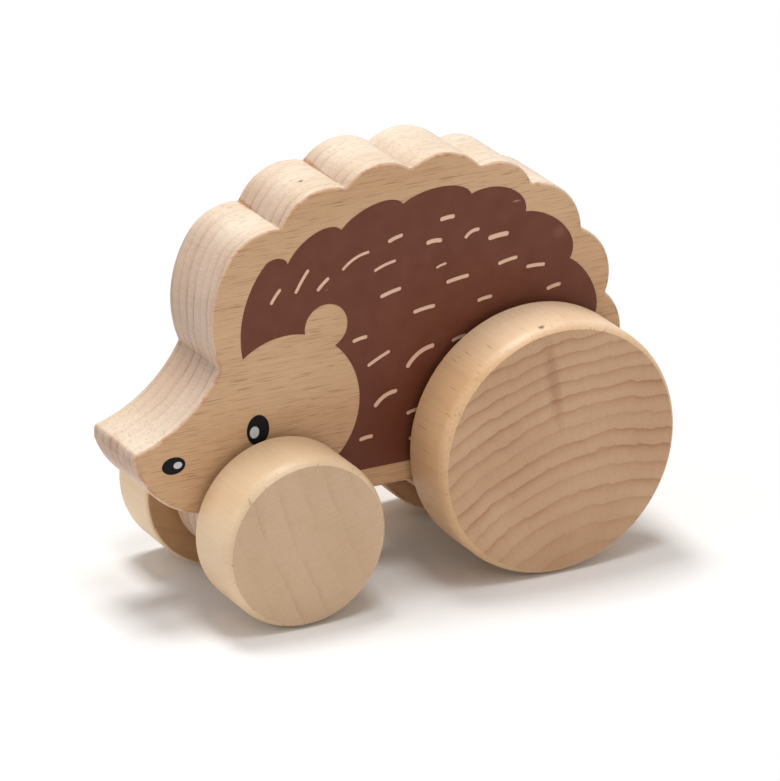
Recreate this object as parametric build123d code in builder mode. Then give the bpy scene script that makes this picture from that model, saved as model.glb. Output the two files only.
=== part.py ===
from build123d import *
import os
from math import cos, radians, sin, sqrt

# A push-along hedgehog of beech: a flat sawn body, two dowel axles and four solid wheels.
# Millimetres. +X points to the head, +Y to the animal's left, +Z up. The wheels stand on Z = 0,
# and X = 0 is midway between the back of the rear wheels and the tip of the nose.

# Overall
toy_length = 127.0  # back of the rear wheels to the tip of the nose
wheelbase = 63.4  # rear axle to front axle

# Wheels and axles
rear_wheel_diameter = 60.0
rear_wheel_width = 16.0
front_wheel_diameter = 40.0
front_wheel_width = 16.0
wheel_rim_round = 4.0  # rounding of the rim towards the outer face
wheel_face_cut = 0.9  # part of that rounding that goes when the face is sanded flat
wheel_face_round = 0.3  # edge left around the face
wheel_inner_round = 1.0  # sanded edge of the face towards the body
wheel_gap = 1.5  # body side to wheel
axle_diameter = 8.0
axle_seat_depth = 10.0  # blind bore in the wheel, where the axle is glued
axle_end_gap = 0.5  # glue space at the bottom of that bore
axle_end_chamfer = 0.6
axle_running_clearance = 0.08  # radial, axle in the body

# Body board
body_thickness = 21.0
body_edge_round = 0.9  # sanded edge along the outline
corner_round = 1.2  # sanded corners of the outline
notch_round = 0.6  # cutter radius at the neck and in the notches

# Back of the body: scallops on a circle, given by the notches between them
back_centre_ahead = 28.0  # ahead of the rear axle
back_centre_height = 45.6
back_radius = 51.0
# Angle of each notch from the +X direction, and its rise over the back radius
back_notches = (
    (52.0, 2.4),
    (71.0, 0.6),
    (89.5, -0.5),
    (109.5, 0.0),
    (125.5, 0.5),
    (146.0, 0.6),
    (166.0, -0.3),
    (185.0, -0.3),
    (207.0, 0.0),
)
scallop_swell = 0.2  # rise of a scallop over its chord

# Forelock, the large front lobe over the neck
neck_angle = 14.0
neck_drop = 1.6  # below the back radius
crown_angle = 38.5
crown_rise = 7.4  # over the back radius
forelock_swell = 3.0  # rise of the arc from neck to crown
crown_swell = 2.1  # rise of the arc from crown to first notch

# Head
nose_height = 39.9  # middle of the blunt nose
nose_depth = 2.8  # height of its flat front
brow_hollow = 2.8  # sag of the arc from nose to neck
chin_swell = 4.0  # rise of the arc from front lobe to nose

# Underside
belly_height = 22.0
belly_rear_ahead = 29.4  # rear end of the flat belly, ahead of the rear axle
rump_sag = 9.9  # drop of the rump's underside below its chord
axle_lobe_radius = 13.8  # lobe that carries the front axle
chin_angle = 15.5  # where the chin leaves that lobe

# Printed ink on both sides
ink_thickness = 0.08
ink_bore_margin = 0.5  # bare wood around the rear bore
coat_belly_margin = 5.0  # bare wood under the coat
# Angle of each notch in the coat's edge, its inset from the back radius, and the rise of the
# scallop before it over that scallop's chord
coat_notches = (
    (47.0, 5.2, 0.26),
    (65.5, 7.8, 0.2),
    (86.5, 8.2, 0.17),
    (109.0, 6.5, 0.16),
    (128.5, 5.6, 0.25),
    (150.5, 5.5, 0.24),
    (172.0, 5.5, 0.2),
    (195.0, 5.5, 0.21),
    (213.0, 6.5, 0.21),
)
coat_lean = 0.12  # shift of a coat scallop's crest towards the tail, over its chord
coat_front_angle = 53.0  # where the coat's front edge leaves the face circle
coat_crown_angle = 43.5  # top of the coat's front edge
coat_crown_inset = 0.7  # from the back radius
coat_front_swell = 2.6  # rise of the arc up to that top
coat_rump_sag = 6.9  # drop of the coat's lower edge at the rump below its chord
coat_belly_rear_ahead = 27.3  # rear end of the straight lower edge, ahead of the rear axle
coat_heel_angle = 258.0  # where the straight lower edge meets the face circle

# Face, the bare round that the coat leaves open
face_back = 37.5  # face centre behind the tip of the nose
face_height = 44.6
face_radius = 18.0
ear_angle = 118.0
ear_reach = 20.7  # face centre to ear centre
ear_radius = 5.3

# Eye and nose ovals
eye_ahead = 7.25  # ahead of the face centre
eye_below = 3.0  # below the face centre
eye_width = 5.5
eye_depth = 7.1
eye_glint_ahead = 0.9  # ahead of the eye's centre
eye_glint_below = 0.4
eye_glint_width = 2.3
eye_glint_depth = 2.8
nose_print_back = 9.5  # behind the tip of the nose
nose_print_below = 2.8
nose_print_width = 5.7
nose_print_depth = 4.0
nose_glint_back = 1.0  # behind the nose oval's centre
nose_glint_width = 2.1
nose_glint_depth = 1.6

# Quill strokes, left bare in the coat: ahead of and above the back's centre, length, width,
# rise towards the tail in degrees, and bow of the middle line
quill_strokes = (
    (34.2, 26.6, 4.1, 0.85, 53.0, 0.1),
    (27.7, 29.0, 6.1, 0.85, 57.0, 0.1),
    (22.5, 27.4, 4.0, 0.9, 42.0, 0.1),
    (14.4, 31.5, 7.5, 0.75, 25.0, 0.6),
    (7.1, 29.0, 5.7, 0.75, 16.0, 0.2),
    (4.5, 35.0, 3.9, 0.95, 16.0, 0.1),
    (5.7, 22.4, 5.4, 0.95, 13.0, 0.1),
    (-5.2, 32.5, 4.1, 1.05, 0.0, 0.2),
    (-8.5, 37.5, 3.8, 1.05, 4.0, 0.1),
    (-14.7, 32.8, 4.1, 0.9, 23.0, 0.4),
    (-21.4, 31.0, 5.3, 1.2, 4.0, 0.1),
    (-7.0, 26.5, 2.7, 0.6, 15.0, 0.1),
    (-11.1, 22.6, 5.8, 0.95, 7.0, 0.1),
    (-2.7, 17.0, 5.6, 0.95, 7.0, 0.1),
    (-18.0, 16.7, 3.8, 0.9, 7.0, 0.1),
    (-23.8, 24.7, 5.0, 0.9, 9.0, 0.1),
    (-30.9, 22.2, 4.9, 0.9, -3.0, 0.1),
    (-35.6, 16.4, 3.8, 0.95, 10.0, 0.1),
    (13.4, 12.8, 3.8, 0.9, 9.0, 0.1),
    (8.7, 7.3, 6.2, 0.85, 25.0, 0.1),
    (-1.7, 6.0, 8.2, 1.1, 31.0, 0.8),
    (-11.5, 8.5, 3.8, 0.8, 13.0, 0.1),
    (7.0, -2.5, 6.5, 1.05, 27.0, 0.6),
    (0.0, -6.9, 3.6, 0.9, 10.0, 0.1),
    (11.9, -11.1, 3.5, 0.95, 6.0, 0.1),
    (-0.5, -13.2, 3.4, 0.85, 7.0, 0.1),
)

# Places that follow from the sizes
rear_axle_x = -toy_length / 2 + rear_wheel_diameter / 2
rear_axle_z = rear_wheel_diameter / 2
front_axle_x = rear_axle_x + wheelbase
front_axle_z = front_wheel_diameter / 2
nose_x = toy_length / 2
back_x = rear_axle_x + back_centre_ahead
back_z = back_centre_height
face_x = nose_x - face_back
side_y = body_thickness / 2
wheel_inner_y = side_y + wheel_gap
axle_bore_radius = axle_diameter / 2 + axle_running_clearance
axle_length = 2 * (wheel_inner_y + axle_seat_depth - axle_end_gap)


def polar_point(centre_x, centre_z, radius, angle):
    return (centre_x + radius * cos(radians(angle)), centre_z + radius * sin(radians(angle)))


def back_point(angle, rise):
    return polar_point(back_x, back_z, back_radius + rise, angle)


def swell_arc(start, end, rise):
    """Arc from start to end that rises to the right-hand side of the way there."""
    run_x = end[0] - start[0]
    run_z = end[1] - start[1]
    chord = sqrt(run_x**2 + run_z**2)
    middle = (
        (start[0] + end[0]) / 2 + rise * run_z / chord,
        (start[1] + end[1]) / 2 - rise * run_x / chord,
    )
    return ThreePointArc(start, middle, end)


def leaning_curve(start, end, swell, lean):
    """Curve that rises to the right by a share of its chord, its crest shifted towards the end."""
    run_x = end[0] - start[0]
    run_z = end[1] - start[1]
    crest = swell * 4 / 3
    controls = [
        (start[0] + share * run_x + crest * run_z, start[1] + share * run_z - crest * run_x)
        for share in (1 / 5 + lean, 4 / 5 + lean)
    ]
    return Bezier(start, *controls, end)


def chord_length(start, end):
    return sqrt((end[0] - start[0]) ** 2 + (end[1] - start[1]) ** 2)


# Corners of the body's outline
neck = back_point(neck_angle, -neck_drop)
crown = back_point(crown_angle, crown_rise)
notches = [back_point(angle, rise) for angle, rise in back_notches]
belly_rear = (rear_axle_x + belly_rear_ahead, belly_height)
lobe_half_width = sqrt(axle_lobe_radius**2 - (belly_height - front_axle_z) ** 2)
belly_front = (front_axle_x - lobe_half_width, belly_height)
lobe_bottom = (front_axle_x, front_axle_z - axle_lobe_radius)
chin = polar_point(front_axle_x, front_axle_z, axle_lobe_radius, chin_angle)
nose_under = (nose_x, nose_height - nose_depth / 2)
nose_over = (nose_x, nose_height + nose_depth / 2)


same_place = 0.01  # points closer than this are one corner


def corners_at(outline, points):
    return outline.vertices().filter_by(
        lambda corner: any(chord_length((corner.X, corner.Y), point) < same_place for point in points)
    )


# Body: outline from the neck over the back, along the underside and round the head
with BuildPart() as body_block:
    with BuildSketch(Plane.XZ) as outline:
        with BuildLine():
            swell_arc(neck, crown, forelock_swell)
            swell_arc(crown, notches[0], crown_swell)
            for start, end in zip(notches, notches[1:]):
                swell_arc(start, end, scallop_swell * chord_length(start, end))
            swell_arc(notches[-1], belly_rear, rump_sag)
            Line(belly_rear, belly_front)
            ThreePointArc(belly_front, lobe_bottom, chin)
            swell_arc(chin, nose_under, chin_swell)
            Line(nose_under, nose_over)
            swell_arc(nose_over, neck, -brow_hollow)
        make_face()
        fillet(corners_at(outline, (neck, *notches)), radius=notch_round)
        outer_corners = (crown, belly_rear, belly_front, chin, nose_under, nose_over)
        fillet(corners_at(outline, outer_corners), radius=corner_round)
    extrude(amount=side_y, both=True)
    fillet(body_block.faces().filter_by(Axis.Y).edges(), radius=body_edge_round)
    with BuildSketch(Plane.XZ):
        with Locations((front_axle_x, front_axle_z), (rear_axle_x, rear_axle_z)):
            Circle(axle_bore_radius)
    extrude(amount=side_y, both=True, mode=Mode.SUBTRACT)


def make_axle(axle_x, axle_z):
    with BuildPart() as axle:
        with BuildSketch(Plane.XZ):
            with Locations((axle_x, axle_z)):
                Circle(axle_diameter / 2)
        extrude(amount=axle_length / 2, both=True)
        chamfer(axle.edges().filter_by(GeomType.CIRCLE), length=axle_end_chamfer)
    return axle.part


def make_wheel(axle_x, diameter, width, side):
    """Solid wheel on the left (side 1) or the right (side -1), bored blind from the body's side."""
    outward = Axis((0, 0, 0), (0, side, 0))
    inner_plane = Plane(
        origin=(axle_x, side * wheel_inner_y, diameter / 2),
        x_dir=(1, 0, 0),
        z_dir=(0, side, 0),
    )
    with BuildPart() as wheel:
        with BuildSketch(inner_plane):
            Circle(diameter / 2)
        extrude(amount=width + wheel_face_cut)
        inner_edge, outer_edge = wheel.edges().filter_by(GeomType.CIRCLE).group_by(outward)
        fillet(outer_edge, radius=wheel_rim_round)
        fillet(inner_edge, radius=wheel_inner_round)
        split(bisect_by=inner_plane.offset(width), keep=Keep.BOTTOM)
        outer_face = wheel.faces().sort_by(outward)[-1]
        fillet(outer_face.edges(), radius=wheel_face_round)
        with BuildSketch(inner_plane):
            Circle(axle_diameter / 2)
        extrude(amount=axle_seat_depth, mode=Mode.SUBTRACT)
    return wheel.part


def ink_plane(side):
    """Left (side 1) or right (side -1) face of the body, drawn in X and Z."""
    return Plane.XZ.offset(-side * side_y)


def make_coat(side):
    face = (face_x, face_height)
    front = polar_point(*face, face_radius, coat_front_angle)
    heel = polar_point(*face, face_radius, coat_heel_angle)
    ear = polar_point(*face, ear_reach, ear_angle)
    top = back_point(coat_crown_angle, -coat_crown_inset)
    edge = [top] + [back_point(angle, -inset) for angle, inset, swell in coat_notches]
    belly_end = (rear_axle_x + coat_belly_rear_ahead, belly_height + coat_belly_margin)
    with BuildPart() as coat:
        with BuildSketch(ink_plane(side)):
            with BuildLine():
                swell_arc(front, top, coat_front_swell)
                for start, end, (angle, inset, swell) in zip(edge, edge[1:], coat_notches):
                    leaning_curve(start, end, swell, coat_lean)
                swell_arc(edge[-1], belly_end, coat_rump_sag)
                Polyline(belly_end, heel, face, front)
            make_face()
            with Locations(face):
                Circle(face_radius, mode=Mode.SUBTRACT)
            with Locations(ear):
                Circle(ear_radius, mode=Mode.SUBTRACT)
            with Locations((rear_axle_x, rear_axle_z)):
                Circle(axle_bore_radius + ink_bore_margin, mode=Mode.SUBTRACT)
            for ahead, above, length, width, rise, bow in quill_strokes:
                with BuildLine(mode=Mode.PRIVATE) as stroke:
                    reach = (length - width) / 2
                    ThreePointArc((-reach, 0), (0, bow), (reach, 0))
                with Locations((back_x + ahead, back_z + above)):
                    SlotArc(stroke.edge(), width, rotation=-rise, mode=Mode.SUBTRACT)
        extrude(amount=-side * ink_thickness)
    return coat.part


def make_oval(side, centre, width, depth, glint_centre, glint_width, glint_depth):
    """Black oval with the opening that its glint fills, and the glint."""
    with BuildPart() as oval:
        with BuildSketch(ink_plane(side)):
            with Locations(centre):
                Ellipse(width / 2, depth / 2)
            with Locations(glint_centre):
                Ellipse(glint_width / 2, glint_depth / 2, mode=Mode.SUBTRACT)
        extrude(amount=-side * ink_thickness)
    with BuildPart() as glint:
        with BuildSketch(ink_plane(side)):
            with Locations(glint_centre):
                Ellipse(glint_width / 2, glint_depth / 2)
        extrude(amount=-side * ink_thickness)
    return oval.part, glint.part


pieces = {
    "body_block": body_block.part,
    "front_axle": make_axle(front_axle_x, front_axle_z),
    "rear_axle": make_axle(rear_axle_x, rear_axle_z),
}

eye = (face_x + eye_ahead, face_height - eye_below)
eye_glint = (eye[0] + eye_glint_ahead, eye[1] - eye_glint_below)
nose = (nose_x - nose_print_back, nose_height - nose_print_below)
nose_glint = (nose[0] - nose_glint_back, nose[1])

for side_name, side in (("left", 1), ("right", -1)):
    pieces["front_wheel_" + side_name] = make_wheel(
        front_axle_x, front_wheel_diameter, front_wheel_width, side
    )
    pieces["rear_wheel_" + side_name] = make_wheel(
        rear_axle_x, rear_wheel_diameter, rear_wheel_width, side
    )
    pieces["coat_print_" + side_name] = make_coat(side)
    pieces["eye_print_" + side_name], pieces["eye_glint_" + side_name] = make_oval(
        side, eye, eye_width, eye_depth, eye_glint, eye_glint_width, eye_glint_depth
    )
    pieces["nose_print_" + side_name], pieces["nose_glint_" + side_name] = make_oval(
        side, nose, nose_print_width, nose_print_depth, nose_glint, nose_glint_width, nose_glint_depth
    )

os.makedirs("parts", exist_ok=True)
for name, piece in pieces.items():
    piece.label = name
    export_step(piece, f"parts/{name}.step")
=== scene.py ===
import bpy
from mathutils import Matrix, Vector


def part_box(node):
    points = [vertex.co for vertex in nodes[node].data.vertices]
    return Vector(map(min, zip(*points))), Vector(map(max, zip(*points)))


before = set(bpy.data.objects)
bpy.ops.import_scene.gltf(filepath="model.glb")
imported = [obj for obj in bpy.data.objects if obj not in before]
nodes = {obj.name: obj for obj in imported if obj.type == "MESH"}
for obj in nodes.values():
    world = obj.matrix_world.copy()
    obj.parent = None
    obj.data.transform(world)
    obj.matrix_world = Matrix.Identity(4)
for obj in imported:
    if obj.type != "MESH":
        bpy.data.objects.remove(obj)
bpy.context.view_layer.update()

import math

import bpy
from mathutils import Vector

mm = 0.001  # metres in a millimetre
quarterTurn = math.pi / 2
xAxis, yAxis, zAxis = (1, 0, 0), (0, 1, 0), (0, 0, 1)  # ahead, to the toy's left, up
print("frame loaded:", len(nodes), "pieces of the hedgehog")


# helpers that every finish shares
def hexToLinear(code):
    channels = [int(code[i:i + 2], 16) / 255 for i in (1, 3, 5)]
    linear = [c / 12.92 if c <= 0.04045 else ((c + 0.055) / 1.055) ** 2.4 for c in channels]
    return (*linear, 1.0)


def addNode(tree, kind, settings=None, inputs=None):
    node = tree.nodes.new("ShaderNode" + kind)
    for name, value in (settings or {}).items():
        setattr(node, name, value)
    for name, value in (inputs or {}).items():
        if isinstance(value, bpy.types.NodeSocket):
            tree.links.new(value, node.inputs[name])
        else:
            node.inputs[name].default_value = value
    return node.outputs


def newMaterial(name):
    material = bpy.data.materials.new(name)
    material.use_nodes = True
    material.node_tree.nodes.clear()
    return material, material.node_tree


def dress(node, material):
    piece = nodes[node]
    piece.data.materials.clear()
    piece.data.materials.append(material)


# settings that many nodes have
plus = {"operation": "ADD"}
minus = {"operation": "SUBTRACT"}
times = {"operation": "MULTIPLY"}
timesPlus = {"operation": "MULTIPLY_ADD"}
over = {"operation": "DIVIDE"}
scaled = {"operation": "SCALE"}
lengthOf = {"operation": "LENGTH"}
alongAxis = {"operation": "DOT_PRODUCT"}
eitherSide = {"operation": "ABSOLUTE"}
softStep = {"interpolation_type": "SMOOTHSTEP"}
cover = {"data_type": "RGBA"}  # a Mix that lays a second colour over the first
stain = {"data_type": "RGBA", "blend_type": "MULTIPLY"}  # a Mix that darkens as a stain does
mixA, mixB, mixResult = 6, 7, 2  # the colour sockets of both

# a spot on the surface: a frayed ellipsoid with its place, its sizes and its fray in mm. It ends and is
# full at these shares of its size, noise included.
spotEdge = {"ends": 1.5, "fills": 0.7, "fray": 0.714, "detail": 2.0}


def spotMask(tree, places, spot):
    moved = addNode(tree, "VectorMath", minus, {0: places, 1: spot["at"]})[0]
    turned = moved
    if "lean" in spot:
        turned = addNode(tree, "VectorRotate", {"rotation_type": "Y_AXIS"},
                         {"Vector": moved, "Angle": math.radians(spot["lean"])})[0]
    shrunk = addNode(tree, "VectorMath", over, {0: turned, 1: spot["size"]})[0]
    reach = addNode(tree, "VectorMath", lengthOf, {0: shrunk})["Value"]
    fray = spot.get("fray", spotEdge["fray"])
    frayed = addNode(tree, "TexNoise", {},
                     {"Vector": moved, "Scale": 1 / fray, "Detail": spotEdge["detail"]})[0]
    reach = addNode(tree, "Math", plus, {0: reach, 1: frayed})[0]
    return addNode(tree, "MapRange", softStep,
                   {"Value": reach, "From Min": spotEdge["ends"], "From Max": spotEdge["fills"],
                    "To Max": spot["amount"]})[0]


# Beech, sawn from one trunk: growth layers lie as rings round its heart, rays point at it and show as
# thin dark dashes along the grain, and end grain is darker. Sanded and oiled, so it has a low sheen.
# Each pattern has its size in mm along the ray, round the ring and along the grain, and its noise detail.
# Real fibres and saw marks are too fine to show, so they are drawn several times as coarse.
beechFigure = {
    "waver": {"size": (16.0, 12.0, 120.0), "detail": 2.0},
    "ragged": {"size": (4.0, 3.0, 40.0), "detail": 3.0},
    "fading": {"size": (30.0, 9.0, 60.0), "detail": 1.0},
    "cloud": {"size": (14.0, 22.0, 60.0), "detail": 2.0},
    "fibre": {"size": (0.5, 0.4, 18.0), "detail": 2.0},
    "sawn": {"size": (6.0, 0.7, 0.9), "detail": 1.0},
    "fleck": {"size": (0.6, 0.16, 3.0), "detail": 0.0},
    "ray": {"size": (0.9, 0.2, 6.0), "detail": 0.0},
}
# shares of one year's growth, the least that a year darkens, and where its line fades along the ring
beechYear = {"lateFrom": 0.3, "lineFrom": 0.74, "closes": 0.96, "faintest": 0.35,
             "fadesBelow": 0.6, "fadedBelow": 0.35, "faded": 0.1}
# bump and extra roughness of the hollows, their depth in mm
beechSurface = {"ior": 1.5, "sheen": 0.5, "bump": 0.25, "depth": 0.12, "rougher": 0.12}
acrossGrain = (1, 1, 0)


# rings: a slow darkening to the end of each year, then a sharp edge
def yearRings(tree, figure, radius, look):
    bent = radius
    for bend in ("waver", "ragged"):
        bent = addNode(tree, "Math", timesPlus, {0: figure[bend], 1: look[bend], 2: bent})[0]
    start = look["firstRing"] + (look["waver"] + look["ragged"]) / 2
    beyond = addNode(tree, "Math", minus, {0: bent, 1: start})[0]
    crowded = addNode(tree, "Math", timesPlus,
                      {0: beyond, 1: look["narrowing"] / look["spacing"], 2: 1 / look["spacing"]})[0]
    years = addNode(tree, "Math", times, {0: beyond, 1: crowded})[0]
    share = addNode(tree, "Math", {"operation": "FRACT"}, {0: years})[0]
    year = addNode(tree, "Math", {"operation": "FLOOR"}, {0: years})[0]
    vigour = addNode(tree, "TexWhiteNoise", {"noise_dimensions": "1D"}, {"W": year})[0]
    vigour = addNode(tree, "MapRange", {}, {"Value": vigour, "To Min": beechYear["faintest"]})[0]
    close = addNode(tree, "MapRange", {},
                    {"Value": share, "From Min": 1.0, "From Max": beechYear["closes"]})[0]
    strength = addNode(tree, "Math", times, {0: vigour, 1: close})[0]
    late = addNode(tree, "MapRange", softStep,
                   {"Value": share, "From Min": beechYear["lateFrom"], "To Max": look["lateWood"]})[0]
    late = addNode(tree, "Math", times, {0: late, 1: strength})[0]
    line = addNode(tree, "MapRange", {},
                   {"Value": share, "From Min": beechYear["lineFrom"], "From Max": beechYear["closes"],
                    "To Max": look["ringLine"]})[0]
    line = addNode(tree, "Math", times, {0: line, 1: strength})[0]
    fading = addNode(tree, "MapRange", {},
                     {"Value": figure["fading"], "From Min": beechYear["fadedBelow"],
                      "From Max": beechYear["fadesBelow"], "To Min": beechYear["faded"]})[0]
    line = addNode(tree, "Math", times, {0: line, 1: fading})[0]
    return late, line


# each way of cutting the wood has its own colour, and shows more or less of the rings and rays
def cutWood(tree, normal, cuts):
    first, *others = cuts
    colour, rings, rays = hexToLinear(first["colour"]), first["rings"], first["rays"]
    for cut in others:
        facing = addNode(tree, "VectorMath", alongAxis, {0: normal, 1: cut["axis"]})["Value"]
        facing = addNode(tree, "Math", eitherSide, {0: facing})[0]
        facing = addNode(tree, "MapRange", softStep,
                         {"Value": facing, "From Min": cut["from"], "From Max": cut["to"]})[0]
        colour = addNode(tree, "Mix", cover,
                         {0: facing, mixA: colour, mixB: hexToLinear(cut["colour"])})[mixResult]
        rings = addNode(tree, "MapRange", {},
                        {"Value": facing, "To Min": rings, "To Max": cut["rings"]})[0]
        rays = addNode(tree, "MapRange", {},
                       {"Value": facing, "To Min": rays, "To Max": cut["rays"]})[0]
    return colour, rings, rays


# pale primer under the brown coat, which its quill strokes leave bare: inside one circle, outside others
def primedColour(tree, places, colour, primed):
    height = addNode(tree, "SeparateXYZ", {}, {0: places})["Z"]
    amount = addNode(tree, "Math", {"operation": "GREATER_THAN"}, {0: height, 1: primed["above"]})[0]
    amount = addNode(tree, "Math", times, {0: amount, 1: primed["amount"]})[0]
    for side, test in (("inside", "LESS_THAN"), ("outside", "GREATER_THAN")):
        for circle in primed[side]:
            moved = addNode(tree, "VectorMath", minus, {0: places, 1: circle["at"]})[0]
            moved = addNode(tree, "VectorMath", times, {0: moved, 1: primed["plane"]})[0]
            reach = addNode(tree, "VectorMath", lengthOf, {0: moved})["Value"]
            kept = addNode(tree, "Math", {"operation": test}, {0: reach, 1: circle["radius"]})[0]
            amount = addNode(tree, "Math", times, {0: amount, 1: kept})[0]
    return addNode(tree, "Mix", cover,
                   {0: amount, mixA: colour, mixB: hexToLinear(primed["colour"])})[mixResult]


# small flats, chips and warm streaks that sanding leaves along an edge rounded off a side face:
# the band where the surface has begun to turn to the side and hasn't yet reached it
edgeBand = {"begins": (0.3, 0.6), "ends": (1.0, 0.97), "chipSoftness": 0.1, "detail": 2.0}


def wornEdge(tree, coords, places, colour, bump, worn):
    turned = addNode(tree, "VectorMath", alongAxis, {0: coords["Normal"], 1: yAxis})["Value"]
    turned = addNode(tree, "Math", eitherSide, {0: turned})[0]
    band = 1.0
    for nothing, full in (edgeBand["begins"], edgeBand["ends"]):
        limit = addNode(tree, "MapRange", softStep,
                        {"Value": turned, "From Min": nothing, "From Max": full})[0]
        band = addNode(tree, "Math", times, {0: band, 1: limit})[0]
    marks = addNode(tree, "TexNoise", {},
                    {"Vector": places, "Scale": 1 / worn["size"], "Detail": edgeBand["detail"]})[0]
    chips = addNode(tree, "MapRange", softStep,
                    {"Value": marks, "From Min": worn["chipsFrom"],
                     "From Max": worn["chipsFrom"] + edgeBand["chipSoftness"], "To Max": worn["chips"]})[0]
    chips = addNode(tree, "Math", times, {0: chips, 1: band})[0]
    colour = addNode(tree, "Mix", stain,
                     {0: chips, mixA: colour, mixB: hexToLinear(worn["tint"])})[mixResult]
    flats = addNode(tree, "Math", times, {0: marks, 1: band})[0]
    bump = addNode(tree, "Bump", {},
                   {"Strength": worn["flats"], "Distance": worn["depth"] * mm,
                    "Height": flats, "Normal": bump})[0]
    return colour, bump


def beechMaterial(name, look):
    material, tree = newMaterial(name)
    coords = addNode(tree, "TexCoord")
    places = addNode(tree, "VectorMath", scaled, {0: coords["Object"], "Scale": 1 / mm})[0]

    # round the trunk's heart: out along a ray, round the ring, along the grain
    wood = addNode(tree, "VectorMath", minus, {0: places, 1: look["heart"]})[0]
    wood = addNode(tree, "Mapping", {}, {"Vector": wood, "Rotation": look["turn"]})[0]
    trunk = addNode(tree, "SeparateXYZ", {}, {0: wood})
    out = addNode(tree, "VectorMath", times, {0: wood, 1: acrossGrain})[0]
    radius = addNode(tree, "VectorMath", lengthOf, {0: out})["Value"]
    angle = addNode(tree, "Math", {"operation": "ARCTAN2"}, {0: trunk["Y"], 1: trunk["X"]})[0]
    girth = addNode(tree, "Math", times, {0: angle, 1: look["meanRadius"]})[0]
    grain = addNode(tree, "CombineXYZ", {}, {0: radius, 1: girth, 2: trunk["Z"]})[0]
    figure = {}
    for pattern, drawn in beechFigure.items():
        spread = addNode(tree, "VectorMath", over, {0: grain, 1: drawn["size"]})[0]
        spread = addNode(tree, "VectorMath", plus, {0: spread, 1: (look["seed"],) * 3})[0]
        figure[pattern] = addNode(tree, "TexNoise", {},
                                  {"Vector": spread, "Scale": 1.0, "Detail": drawn["detail"]})[0]

    # the bare cut first, then all that darkens it
    colour, rings, rays = cutWood(tree, coords["Normal"], look["cuts"])
    late, line = yearRings(tree, figure, radius, look)
    masks = {"late": late, "line": line}
    tints = {"late": look["lateTint"], "line": look["lineTint"]}
    for mark, drawn in look["marks"].items():
        ramp = softStep if mark in ("fleck", "ray") else {}
        masks[mark] = addNode(tree, "MapRange", ramp,
                              {"Value": figure[mark], "From Min": drawn["from"], "From Max": drawn["to"],
                               "To Max": drawn["amount"]})[0]
        tints[mark] = drawn["tint"]
    showing = {"late": rings, "line": rings, "sawn": rings, "fleck": rays, "ray": rays}
    for mark, share in showing.items():
        masks[mark] = addNode(tree, "Math", times, {0: masks[mark], 1: share})[0]
    for mark, tint in tints.items():
        colour = addNode(tree, "Mix", stain,
                         {0: masks[mark], mixA: colour, mixB: hexToLinear(tint)})[mixResult]
    if "primed" in look:
        colour = primedColour(tree, places, colour, look["primed"])
    for spot in look["spots"]:
        colour = addNode(tree, "Mix", stain,
                         {0: spotMask(tree, places, spot), mixA: colour,
                          mixB: hexToLinear(spot["tint"])})[mixResult]

    # rays, open fibres and saw marks are hair-thin hollows that the sanding leaves
    hollow = addNode(tree, "Math", plus, {0: masks["ray"], 1: masks["fibre"]})[0]
    hollow = addNode(tree, "Math", plus, {0: hollow, 1: masks["sawn"]})[0]
    bump = addNode(tree, "Bump", {"invert": True},
                   {"Strength": beechSurface["bump"], "Distance": beechSurface["depth"] * mm,
                    "Height": hollow})[0]
    colour, bump = wornEdge(tree, coords, places, colour, bump, look["wornEdge"])
    rough = addNode(tree, "MapRange", {},
                    {"Value": hollow, "To Min": look["roughness"],
                     "To Max": look["roughness"] + beechSurface["rougher"]})[0]
    shader = addNode(tree, "BsdfPrincipled", {},
                     {"Base Color": colour, "Roughness": rough, "IOR": beechSurface["ior"],
                      "Specular IOR Level": beechSurface["sheen"], "Normal": bump})[0]
    addNode(tree, "OutputMaterial", {}, {"Surface": shader})
    return material


# Burns that the saw left in the creases between the scallops, from the neck to the rump
sawBurns = {
    "centre": (-5.5, 45.6), "radius": 51.0,  # x and z of the circle that the scallops stand on
    "creases": (  # angle in degrees, rise over the circle
        (14.0, -1.6), (52.0, 2.4), (71.0, 0.6), (89.5, -0.5), (109.5, 0.0), (125.5, 0.5),
        (146.0, 0.6), (166.0, -0.3), (185.0, -0.3), (207.0, 0.0)),
    "light": {"size": (0.5, 16.0, 0.5), "amount": 0.25, "tint": "#7C5636"},
    "dark": {"size": (0.5, 16.0, 0.5), "amount": 0.6, "tint": "#7C5636"},
    "scorch": {"size": (1.0, 9.0, 1.0), "amount": 0.7, "tint": "#D69A50", "fray": 1.667},
    "scorched": (1, 2), "scorchAtY": -8.0,  # which creases, and towards which side
}
burns = []
for index, (degrees, rise) in enumerate(sawBurns["creases"]):
    reach = sawBurns["radius"] + rise
    creaseX = sawBurns["centre"][0] + reach * math.cos(math.radians(degrees))
    creaseZ = sawBurns["centre"][1] + reach * math.sin(math.radians(degrees))
    isScorched = index in sawBurns["scorched"]
    burns.append({**sawBurns["dark" if isScorched else "light"], "at": (creaseX, 0.0, creaseZ)})
    if isScorched:
        burns.append({**sawBurns["scorch"], "at": (creaseX, sawBurns["scorchAtY"], creaseZ)})

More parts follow.
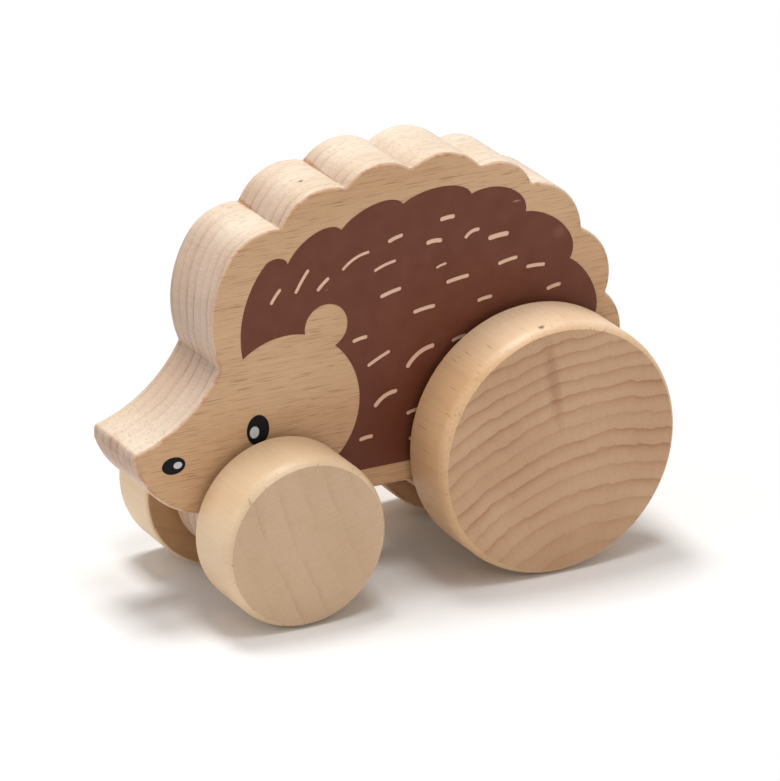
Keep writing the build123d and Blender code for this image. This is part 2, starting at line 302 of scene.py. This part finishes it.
# Body: one board, grain from nose to tail, growth layers nearly parallel to its sides. Lengths are in mm
# and places are from the middle of the toy on the floor.
bodyLook = {
    "turn": (0.0, quarterTurn, 0.0), "heart": (0.0, -228.0, 52.0), "meanRadius": 228.0, "seed": 3.7,
    "firstRing": 217.0, "spacing": 3.3, "narrowing": 0.0, "waver": 3.0, "ragged": 0.7,
    "lateWood": 0.4, "lateTint": "#D9C6B8", "ringLine": 0.5, "lineTint": "#AE9888", "roughness": 0.45,
    "cuts": [
        {"colour": "#EADAC6", "rings": 0.3, "rays": 0.5},
        {"axis": xAxis, "from": 0.3, "to": 0.9, "colour": "#CBB3A0", "rings": 1.0, "rays": 0.05},
        {"axis": yAxis, "from": 0.25, "to": 0.55, "colour": "#DDBDA2", "rings": 0.3, "rays": 0.4},
        {"axis": yAxis, "from": 0.75, "to": 0.97, "colour": "#DAB38B", "rings": 0.1, "rays": 1.0},
    ],
    "marks": {
        "cloud": {"from": 0.35, "to": 0.65, "amount": 0.5, "tint": "#EADBC9"},
        "fibre": {"from": 0.3, "to": 0.7, "amount": 0.35, "tint": "#E3D0BC"},
        "sawn": {"from": 0.4, "to": 0.75, "amount": 0.15, "tint": "#C9AE98"},
        "fleck": {"from": 0.63, "to": 0.75, "amount": 0.15, "tint": "#A0754E"},
        "ray": {"from": 0.63, "to": 0.77, "amount": 0.5, "tint": "#A0754E"},
    },
    "wornEdge": {"size": 3.2, "chips": 0.45, "chipsFrom": 0.5, "tint": "#D6A27C",
                 "flats": 0.3, "depth": 0.4},
    "primed": {
        "colour": "#F0C6AD", "amount": 0.85, "above": 27.2, "plane": (1, 0, 1),
        "inside": [{"at": (-3.5, 0.0, 44.6), "radius": 42.9}],  # the coat
        "outside": [{"at": (26.0, 0.0, 44.6), "radius": 18.4},  # the face and the ear
                    {"at": (16.28, 0.0, 62.88), "radius": 5.6}],
    },
    "spots": burns + [  # a knot on the crest, painted shade on the nose's front, painted shade at the neck
        {"at": (18.5, 3.0, 94.85), "size": (0.8, 0.7, 1.0), "amount": 0.9, "tint": "#6B4A30"},
        # painted shade: the nose's front face darkened
        {"at": (63.0, 0.0, 37.0), "size": (3.5, 16.0, 6.0), "amount": 0.45, "tint": "#C29A7C",
         "fray": 2.857},
        # painted shade: darker where the muzzle meets the forelock
        {"at": (45.5, 0.0, 54.0), "size": (6.0, 16.0, 6.0), "amount": 0.1, "tint": "#B89A84",
         "fray": 2.857},
    ],
}
dress("body_block", beechMaterial("sandedBeechBoard", bodyLook))

# Wheels: sawn across the trunk, so their faces are end grain with the rings as arcs
wheelLook = {
    "turn": (-quarterTurn, 0.0, 0.0), "waver": 2.4, "ragged": 1.6, "roughness": 0.42,
    "lateWood": 0.5, "lateTint": "#D9B49A", "ringLine": 0.36, "lineTint": "#A57D60",
    "marks": {
        "cloud": {"from": 0.35, "to": 0.65, "amount": 0.4, "tint": "#EADCCB"},
        "fibre": {"from": 0.3, "to": 0.7, "amount": 0.25, "tint": "#E9DCCD"},
        "sawn": {"from": 0.4, "to": 0.75, "amount": 0.08, "tint": "#CDAE92"},
        "fleck": {"from": 0.72, "to": 0.84, "amount": 0.1, "tint": "#865C38"},
        "ray": {"from": 0.72, "to": 0.86, "amount": 0.5, "tint": "#865C38"},
    },
    "wornEdge": {"size": 1.6, "chips": 0.4, "chipsFrom": 0.62, "tint": "#9A744F",
                 "flats": 0.4, "depth": 0.3},
}
# Rims of warm beech, on the wheels and the dowels. Their cut that faces up is a painted highlight: paler
# where the surface faces up, standing in for the overhead lamps' light.
warmRimPaintedTopLight = [
    {"colour": "#E0BA90", "rings": 0.15, "rays": 1.0},
    # painted highlight: paler where the surface faces up
    {"axis": zAxis, "from": 0.6, "to": 1.0, "colour": "#EDCFAE", "rings": 0.15, "rays": 1.0},
]
paleRim = [{"colour": "#E0C4A1", "rings": 0.1, "rays": 0.1}]
endGrain = {"axis": yAxis, "from": 0.8, "to": 0.95, "rings": 1.0, "rays": 0.1}
wheels = {  # the trunk's heart is ahead of the hub and above it, a spot ahead, to the left and above
    "rear_wheel_left": {
        "heartFromHub": (-12.3, -61.2), "meanRadius": 62.0, "firstRing": 46.8, "spacing": 4.5,
        "narrowing": 0.0046, "seed": 1.3, "rim": warmRimPaintedTopLight, "face": "#CCA581",
        "spotsFromHub": [  # a knot in the edge, and a dark streak along the ray above the hub
            {"from": (4.1, 5.8, 29.7), "size": (1.2, 0.8, 0.9), "amount": 0.85, "tint": "#5E4030"},
            {"from": (2.1, 8.0, 17.0), "size": (2.2, 3.0, 15.0), "lean": -9.0, "amount": 0.4,
             "tint": "#C79A7C"},
        ]},
    # this wheel's face is darker and warmer than the left wheels': partly a darker piece of beech, partly
    # painted shade of the toy's far side
    "rear_wheel_right": {
        "heartFromHub": (45.5, -50.0), "meanRadius": 62.0, "firstRing": 30.0, "spacing": 4.2,
        "narrowing": 0.003, "seed": 5.9, "rim": warmRimPaintedTopLight, "face": "#CA9F76", "spotsFromHub": []},
    "front_wheel_left": {
        "heartFromHub": (-175.1, 68.8), "meanRadius": 180.0, "firstRing": 173.6, "spacing": 5.8,
        "narrowing": 0.0, "seed": 8.1, "rim": paleRim, "face": "#D2B392", "spotsFromHub": [],
        "ragged": 0.5, "lateWood": 0.08, "ringLine": 0.14},
    # this wheel's face is darker and warmer than the left wheels': partly a darker piece of beech, partly
    # painted shade of the toy's far side
    "front_wheel_right": {
        "heartFromHub": (30.1, -60.0), "meanRadius": 75.0, "firstRing": 50.0, "spacing": 4.6,
        "narrowing": 0.002, "seed": 2.2, "rim": paleRim, "face": "#C29A70", "spotsFromHub": [],
        "ragged": 0.5, "lateWood": 0.2, "ringLine": 0.25},
}
for node, own in wheels.items():
    lowest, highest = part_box(node)
    hub = (lowest + highest) / (2 * mm)
    heartAhead, heartAbove = own["heartFromHub"]
    look = {**wheelLook, **own, "heart": (hub.x + heartAhead, 0.0, hub.z + heartAbove),
            "cuts": own["rim"] + [{**endGrain, "colour": own["face"]}],
            "spots": [{**spot, "at": hub + Vector(spot["from"])} for spot in own["spotsFromHub"]]}
    dress(node, beechMaterial("sandedBeech." + node, look))

# Axles: turned dowels, grain along their length
dowelLook = {
    **wheelLook, "heart": (-90.0, 0.0, -10.0), "meanRadius": 90.0, "firstRing": 60.0, "spacing": 2.6,
    "narrowing": 0.0, "seed": 0.0, "cuts": warmRimPaintedTopLight + [{**endGrain, "colour": "#CCA581"}], "spots": [],
}
for node in ("front_axle", "rear_axle"):
    dress(node, beechMaterial("turnedBeechDowel." + node, dowelLook))
print("beech finished")

# Screen-printed ink: a thin matt film, slightly uneven where it lies over the grain. The grain under it,
# the mottle and the depth are in mm.
inkSurface = {"grain": (3.2, 9.0, 0.42), "grainDetail": 2.0, "bump": 0.12, "depth": 0.06, "ior": 1.5,
              "mottle": 4.0, "mottleDetail": 4.0, "thickBelow": 0.3, "thinAbove": 0.7}


def inkMaterial(name, look):
    material, tree = newMaterial(name)
    coords = addNode(tree, "TexCoord")
    places = addNode(tree, "VectorMath", scaled, {0: coords["Object"], "Scale": 1 / mm})[0]
    grain = addNode(tree, "VectorMath", over, {0: places, 1: inkSurface["grain"]})[0]
    grain = addNode(tree, "TexNoise", {},
                    {"Vector": grain, "Scale": 1.0, "Detail": inkSurface["grainDetail"]})[0]
    mottle = addNode(tree, "TexNoise", {},
                     {"Vector": places, "Scale": 1 / inkSurface["mottle"],
                      "Detail": inkSurface["mottleDetail"]})[0]
    mottle = addNode(tree, "MapRange", {},
                     {"Value": mottle, "From Min": inkSurface["thickBelow"],
                      "From Max": inkSurface["thinAbove"]})[0]
    colour = addNode(tree, "Mix", cover,
                     {0: mottle, mixA: hexToLinear(look["colour"]),
                      mixB: hexToLinear(look["thin"])})[mixResult]
    for spot in look["spots"]:
        colour = addNode(tree, "Mix", cover,
                         {0: spotMask(tree, places, spot), mixA: colour,
                          mixB: hexToLinear(spot["tint"])})[mixResult]
    bump = addNode(tree, "Bump", {},
                   {"Strength": inkSurface["bump"], "Distance": inkSurface["depth"] * mm,
                    "Height": grain})[0]
    shader = addNode(tree, "BsdfPrincipled", {},
                     {"Base Color": colour, "Roughness": look["roughness"], "IOR": inkSurface["ior"],
                      "Specular IOR Level": look["sheen"], "Normal": bump})[0]
    addNode(tree, "OutputMaterial", {}, {"Surface": shader})
    return material


coatLook = {
    "colour": "#6B3926", "thin": "#72402E", "roughness": 0.5, "sheen": 0.25,
    "spots": [  # painted warm shade over the lower half, then small places where the ink is rubbed thin
        # painted shade: the lower coat darker and redder, standing in for the wheels' warm bounce light
        {"at": (-8.0, 0.0, 36.0), "size": (34.0, 40.0, 20.0), "amount": 0.6, "tint": "#632E18",
         "fray": 33.3},
        {"at": (-31.4, 10.5, 84.0), "size": (1.5, 2.0, 0.3), "amount": 0.8, "tint": "#B08672"},
        {"at": (-42.3, 10.5, 74.6), "size": (2.4, 2.0, 2.0), "amount": 0.3, "tint": "#9A6A56",
         "fray": 0.5},
        {"at": (16.1, 10.5, 71.5), "size": (0.7, 2.0, 0.4), "amount": 0.5, "tint": "#9A6A56"},
    ],
}
blackLook = {"colour": "#141414", "thin": "#1A1919", "roughness": 0.5, "sheen": 0.12, "spots": []}
paleLook = {"colour": "#CBCDCF", "thin": "#D2D4D6", "roughness": 0.55, "sheen": 0.2, "spots": []}
coatInk = inkMaterial("brownScreenInk", coatLook)
blackInk = inkMaterial("blackScreenInk", blackLook)
paleInk = inkMaterial("paleScreenInk", paleLook)
for side in ("left", "right"):
    dress("coat_print_" + side, coatInk)
    for node in ("eye_print_", "nose_print_"):
        dress(node + side, blackInk)
    for node in ("eye_glint_", "nose_glint_"):
        dress(node + side, paleInk)
print("prints finished")


# 1 for a ray that shows the background: straight from the camera, mirrored or through glass
def showsBackground(tree):
    path = addNode(tree, "LightPath")
    shows = path["Is Camera Ray"]
    for ray in ("Is Glossy Ray", "Is Transmission Ray"):
        shows = addNode(tree, "Math", {"operation": "MAXIMUM"}, {0: shows, 1: path[ray]})[0]
    return shows


# Floor: plain pale paper that keeps the toy's shadow and fades to white. Lengths are in metres.
floorLook = {"size": 12.0, "drop": 0.02 * mm, "colour": "#F6F5F4", "fadeFrom": 0.07, "fadeTo": 0.15}
white = (1, 1, 1, 1)
bpy.ops.mesh.primitive_plane_add(size=floorLook["size"], location=(0, 0, -floorLook["drop"]))
floor = bpy.context.object
floor.name = "paperFloor"
floorMaterial, tree = newMaterial("palePaper")
coords = addNode(tree, "TexCoord")
away = addNode(tree, "VectorMath", lengthOf, {0: coords["Object"]})["Value"]
fade = addNode(tree, "MapRange", softStep,
               {"Value": away, "From Min": floorLook["fadeFrom"], "From Max": floorLook["fadeTo"]})[0]
fade = addNode(tree, "Math", times, {0: fade, 1: showsBackground(tree)})[0]
paper = addNode(tree, "BsdfDiffuse", {}, {"Color": hexToLinear(floorLook["colour"])})[0]
glow = addNode(tree, "Emission", {}, {"Color": white, "Strength": 1.0})[0]
shader = addNode(tree, "MixShader", {}, {0: fade, 1: paper, 2: glow})[0]
addNode(tree, "OutputMaterial", {}, {"Surface": shader})
floor.data.materials.append(floorMaterial)

# World: an even pale room, white where it is seen or mirrored
roomLook = {"ambient": 0.38}
world = bpy.data.worlds.new("paleRoom")
bpy.context.scene.world = world
world.use_nodes = True
tree = world.node_tree
tree.nodes.clear()
strength = addNode(tree, "MapRange", {},
                   {"Value": showsBackground(tree), "To Min": roomLook["ambient"], "To Max": 1.0})[0]
room = addNode(tree, "Background", {}, {"Color": white, "Strength": strength})[0]
addNode(tree, "OutputWorld", {}, {"Surface": room})

# Lamps: two soft boxes overhead, the far one stronger, and weak wide ones before the head and behind
# the tail. Places and sizes are in metres.
lamps = {
    "farSoftbox": {"place": (0.05, -0.2, 1.0), "size": 0.3, "watts": 5.6},
    "nearSoftbox": {"place": (0.05, 0.28, 1.0), "size": 0.3, "watts": 2.5},
    "headFill": {"place": (1.2, 0.0, 0.45), "size": 0.8, "watts": 2.7},
    "tailFill": {"place": (-1.1, 0.8, 0.45), "size": 0.8, "watts": 1.7},
}
lampAim = Vector((0.0, 0.0, 0.04))
for name, lamp in lamps.items():
    data = bpy.data.lights.new(name, "AREA")
    data.shape = "SQUARE"
    data.size = lamp["size"]
    data.energy = lamp["watts"]
    box = bpy.data.objects.new(name, data)
    box.location = lamp["place"]
    box.rotation_euler = (lampAim - box.location).to_track_quat("-Z", "Y").to_euler()
    bpy.context.scene.collection.objects.link(box)
print("floor, room and lamps placed")

# Camera: a long lens, ahead of the toy on its left and above it. Angles in degrees, distance in metres,
# target and lens in mm.
cameraView = {"azimuth": 152.0, "elevation": 22.23, "distance": 1.5,
              "target": (-5.22, 0.0, 39.81), "lens": 308.94}
azimuth = math.radians(cameraView["azimuth"])
elevation = math.radians(cameraView["elevation"])
towards = Vector((math.sin(azimuth) * math.cos(elevation),
                  -math.cos(azimuth) * math.cos(elevation), math.sin(elevation)))
camera = bpy.data.objects.new("camera", bpy.data.cameras.new("camera"))
camera.data.lens = cameraView["lens"]
camera.location = Vector(cameraView["target"]) * mm + towards * cameraView["distance"]
camera.rotation_euler = (-towards).to_track_quat("-Z", "Y").to_euler()
bpy.context.scene.collection.objects.link(camera)
bpy.context.scene.camera = camera
bpy.context.scene.view_settings.view_transform = "Standard"
print("camera placed")
